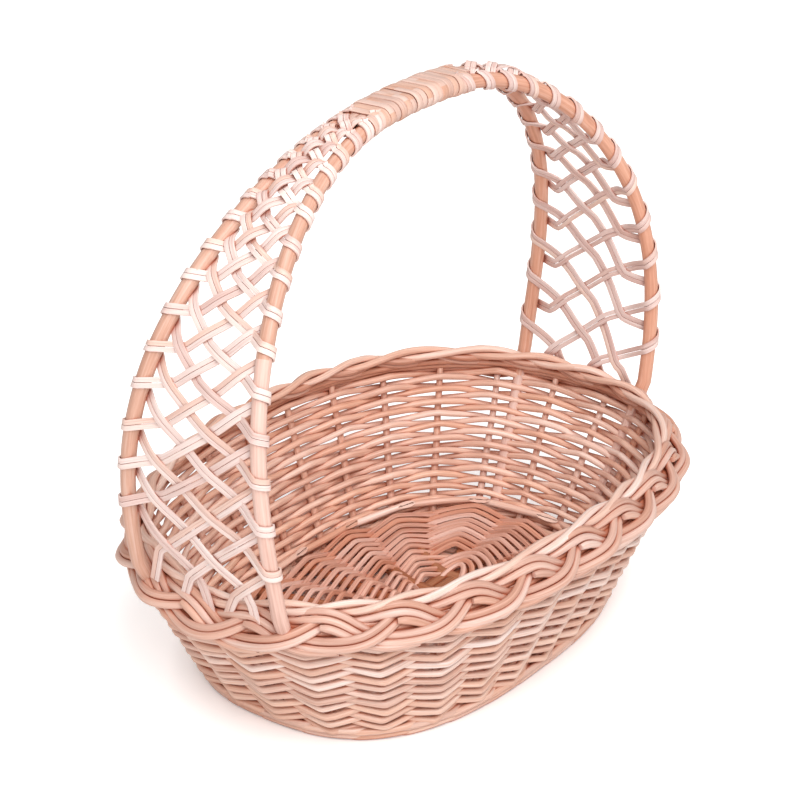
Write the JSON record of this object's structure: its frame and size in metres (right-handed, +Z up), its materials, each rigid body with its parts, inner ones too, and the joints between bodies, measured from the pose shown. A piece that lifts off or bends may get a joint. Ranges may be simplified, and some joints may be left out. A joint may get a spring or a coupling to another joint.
{
  "type": "wicker basket",
  "caption": "Oval wicker basket woven from willow rods on upright stakes, with a plaited border, a woven base and a fixed arched handle of paired bows laced with split skein.",
  "frame": {"origin": "middle of the underside, on the surface the basket stands on", "axes": "+Z up, +X along the handle and the basket's length, +Y across the handle"},
  "size_m": [0.3978, 0.2918, 0.3446],
  "materials": {
    "willow_rod": "peeled buff willow, satin",
    "willow_stake": "peeled buff willow, satin",
    "border_rod": "peeled buff willow, satin",
    "bow_rod": "peeled buff willow, satin",
    "willow_skein": "split and shaved willow, satin",
    "base_stick": "peeled buff willow, satin"
  },
  "bodies": {
    "root": {"bottom_wale": "willow_rod", "base_stick_long_1": "base_stick", "base_stick_long_2": "base_stick", "base_stick_long_3": "base_stick", "base_stick_cross_1": "base_stick", "base_stick_cross_2": "base_stick", "base_stick_cross_3": "base_stick", "base_stick_cross_4": "base_stick", "base_stick_cross_5": "base_stick", "base_round_1": "willow_rod", "base_round_2": "willow_rod", "base_round_3": "willow_rod", "stake_01": "willow_stake", "stake_02": "willow_stake", "stake_03": "willow_stake", "stake_04": "willow_stake", "stake_05": "willow_stake", "stake_06": "willow_stake", "stake_07": "willow_stake", "stake_08": "willow_stake", "stake_09": "willow_stake", "stake_10": "willow_stake", "stake_11": "willow_stake", "stake_12": "willow_stake", "stake_13": "willow_stake", "stake_14": "willow_stake", "stake_15": "willow_stake", "stake_16": "willow_stake", "stake_17": "willow_stake", "stake_18": "willow_stake", "stake_19": "willow_stake", "stake_20": "willow_stake", "stake_21": "willow_stake", "stake_22": "willow_stake", "stake_23": "willow_stake", "stake_24": "willow_stake", "stake_25": "willow_stake", "stake_26": "willow_stake", "side_round_1": "willow_rod", "side_round_2": "willow_rod", "side_round_3": "willow_rod", "side_round_4": "willow_rod", "side_round_5": "willow_rod", "side_round_6": "willow_rod", "side_round_7": "willow_rod", "side_round_8": "willow_rod", "border_strand_1": "border_rod", "border_strand_2": "border_rod", "border_strand_3": "border_rod", "handle_bow_front": "bow_rod", "handle_bow_back": "bow_rod", "lacing_left": "willow_skein", "lacing_right": "willow_skein", "grip_binding": "willow_skein"}
  },
  "joints": []
}
